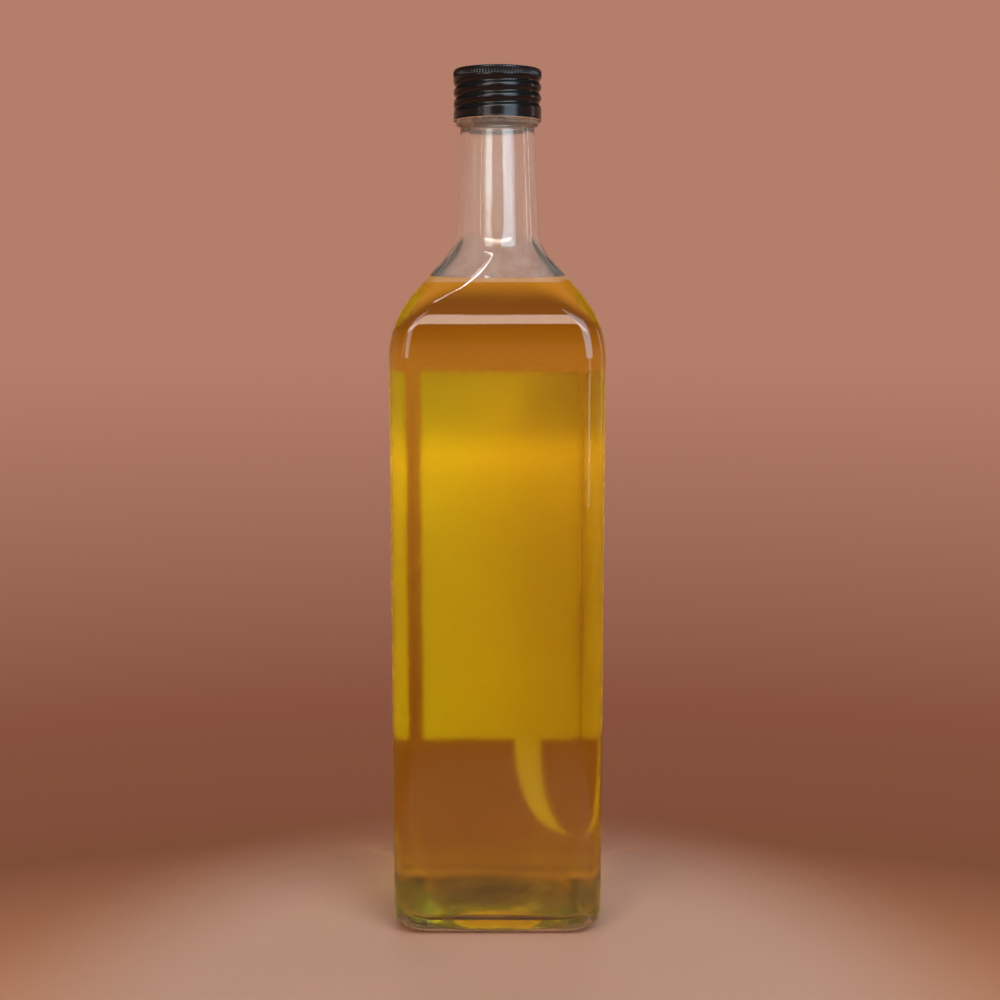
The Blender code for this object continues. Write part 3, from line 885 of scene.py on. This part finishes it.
def paper_material(name, colour, through_share, printed):
    """Matt paper with fine fibres, which lets a share of the light through."""
    material, tree, shader, output = new_material(name)
    fibre = add_noise(tree, PAPER_FIBRE_SCALE, detail=6, roughness=0.7)
    tone = tree.nodes.new("ShaderNodeMix")
    tone.data_type = "RGBA"
    tone.inputs["A"].default_value = (*[channel * PAPER_FIBRE_TONE for channel in colour], 1)
    tone.inputs["B"].default_value = (*colour, 1)
    tree.links.new(fibre, tone.inputs["Factor"])
    ink = add_print(tree, tone.outputs["Result"]) if printed else tone.outputs["Result"]
    tree.links.new(ink, shader.inputs["Base Color"])
    shader.inputs["Roughness"].default_value = PAPER_ROUGHNESS
    add_bump(tree, shader, fibre, *PAPER_BUMP)
    through = tree.nodes.new("ShaderNodeBsdfTranslucent")
    tree.links.new(ink, through.inputs["Color"])
    both = tree.nodes.new("ShaderNodeMixShader")
    both.inputs["Fac"].default_value = through_share
    tree.links.new(shader.outputs["BSDF"], both.inputs[1])
    tree.links.new(through.outputs["BSDF"], both.inputs[2])
    tree.links.new(both.outputs["Shader"], output.inputs["Surface"])
    return material


# The studio

def make_floor():
    """A pale round floor that fades into the backdrop."""
    mesh_data = bmesh.new()
    bmesh.ops.create_circle(mesh_data, cap_ends=True, segments=FLOOR_SIDES, radius=FLOOR_RADIUS)
    mesh = bpy.data.meshes.new("floor")
    mesh_data.to_mesh(mesh)
    mesh_data.free()
    floor = bpy.data.objects.new("floor", mesh)
    bpy.context.collection.objects.link(floor)
    material, tree, shader, output = new_material("pale_floor")
    shader.inputs["Base Color"].default_value = (*FLOOR_COLOUR, 1)
    shader.inputs["Roughness"].default_value = FLOOR_ROUGHNESS
    place = tree.nodes.new("ShaderNodeTexCoord")
    length = tree.nodes.new("ShaderNodeVectorMath")
    length.operation = "DISTANCE"
    length.inputs[1].default_value = (0, FLOOR_MIDDLE_Y, 0)
    tree.links.new(place.outputs["Object"], length.inputs[0])
    fade = tree.nodes.new("ShaderNodeMapRange")
    fade.interpolation_type = "SMOOTHSTEP"
    fade.inputs["From Min"].default_value = FLOOR_FADE_FROM
    fade.inputs["From Max"].default_value = FLOOR_FADE_TO
    tree.links.new(length.outputs["Value"], fade.inputs["Value"])
    clear = tree.nodes.new("ShaderNodeBsdfTransparent")
    both = tree.nodes.new("ShaderNodeMixShader")
    tree.links.new(fade.outputs["Result"], both.inputs["Fac"])
    tree.links.new(shader.outputs["BSDF"], both.inputs[1])
    tree.links.new(clear.outputs["BSDF"], both.inputs[2])
    tree.links.new(both.outputs["Shader"], output.inputs["Surface"])
    mesh.materials.append(material)


def make_world():
    """A plain warm backdrop all round, dark above the picture and dim overhead."""
    world = bpy.data.worlds.new("studio")
    world.use_nodes = True
    bpy.context.scene.world = world
    tree = world.node_tree
    background = tree.nodes["Background"]
    place = tree.nodes.new("ShaderNodeTexCoord")
    split = tree.nodes.new("ShaderNodeSeparateXYZ")
    tree.links.new(place.outputs["Generated"], split.inputs["Vector"])
    height = add_range(tree, split.outputs["Z"], 0.0, 1.0, -1.0, 1.0)
    ramp = tree.nodes.new("ShaderNodeValToRGB")
    stops = ramp.color_ramp.elements
    stops.remove(stops[1])
    for degrees, colour in BACKDROP:
        stop = stops.new((math.sin(math.radians(degrees)) + 1) / 2)
        stop.color = (*colour, 1)
    stops.remove(stops[0])
    tree.links.new(height, ramp.inputs["Fac"])
    tree.links.new(ramp.outputs["Color"], background.inputs["Color"])
    background.inputs["Strength"].default_value = 1.0


def add_softbox(name, azimuth, elevation, distance, shift, width, height, radiance, colour):
    """A soft area light facing the bottle, azimuth degrees round to the right of the camera."""
    data = bpy.data.lights.new(name, "AREA")
    data.shape = "RECTANGLE"
    data.size = width
    data.size_y = height
    data.energy = radiance * math.pi * width * height
    data.color = colour
    lamp = bpy.data.objects.new(name, data)
    turn = math.radians(azimuth)
    rise = math.radians(elevation)
    away = Vector((math.sin(turn) * math.cos(rise), -math.cos(turn) * math.cos(rise), math.sin(rise)))
    target = Vector((0, 0, LIGHTS_AIM_Z))
    sideways = Vector((math.cos(turn), math.sin(turn), 0))
    lamp.location = target + away * distance + sideways * shift
    lamp.rotation_euler = (-away).to_track_quat("-Z", "Y").to_euler()
    lamp.visible_camera = False
    lamp.visible_transmission = name not in NOT_SEEN_THROUGH_GLASS
    bpy.context.collection.objects.link(lamp)


def make_camera():
    """The camera at the photograph's angle."""
    data = bpy.data.cameras.new("camera")
    data.sensor_width = CAMERA_SENSOR_MM
    data.lens = CAMERA_LENS_MM
    data.shift_y = CAMERA_SHIFT_Y
    camera = bpy.data.objects.new("camera", data)
    camera.location = CAMERA_PLACE
    camera.rotation_euler = (QUARTER_TURN - CAMERA_DOWN, 0, 0)
    bpy.context.collection.objects.link(camera)
    bpy.context.scene.camera = camera


def set_quality():
    """Plain display colours, denoising and the bounces of light."""
    scene = bpy.context.scene
    scene.view_settings.view_transform = "Standard"
    scene.cycles.use_denoising = True
    scene.cycles.max_bounces = MOST_BOUNCES
    scene.cycles.transmission_bounces = MOST_BOUNCES
    scene.cycles.glossy_bounces = GLOSSY_BOUNCES
    scene.cycles.diffuse_bounces = DIFFUSE_BOUNCES
    scene.cycles.transparent_max_bounces = TRANSPARENT_BOUNCES
    scene.cycles.blur_glossy = 0.0


# The bottle's pieces, then the studio round it

make_glass(
    glass_material("clear_bottle_glass", False),
    glass_material("wetted_bottle_glass", True),
    hazed_glass_material(),
)
oil_surface = oil_material("golden_oil_surface", False)
make_oil(oil_material("golden_oil_side", True), oil_surface)
make_drops(oil_surface)
make_cap(lacquer_material(), bare_metal_material())
make_label(
    paper_material("paper_back", PAPER_BACK, PAPER_BACK_THROUGH, False),
    paper_material("paper_front", PAPER_FRONT, PAPER_FRONT_THROUGH, True),
)
make_floor()
make_world()
for softbox in SOFTBOXES:
    add_softbox(*softbox)
make_camera()
set_quality()
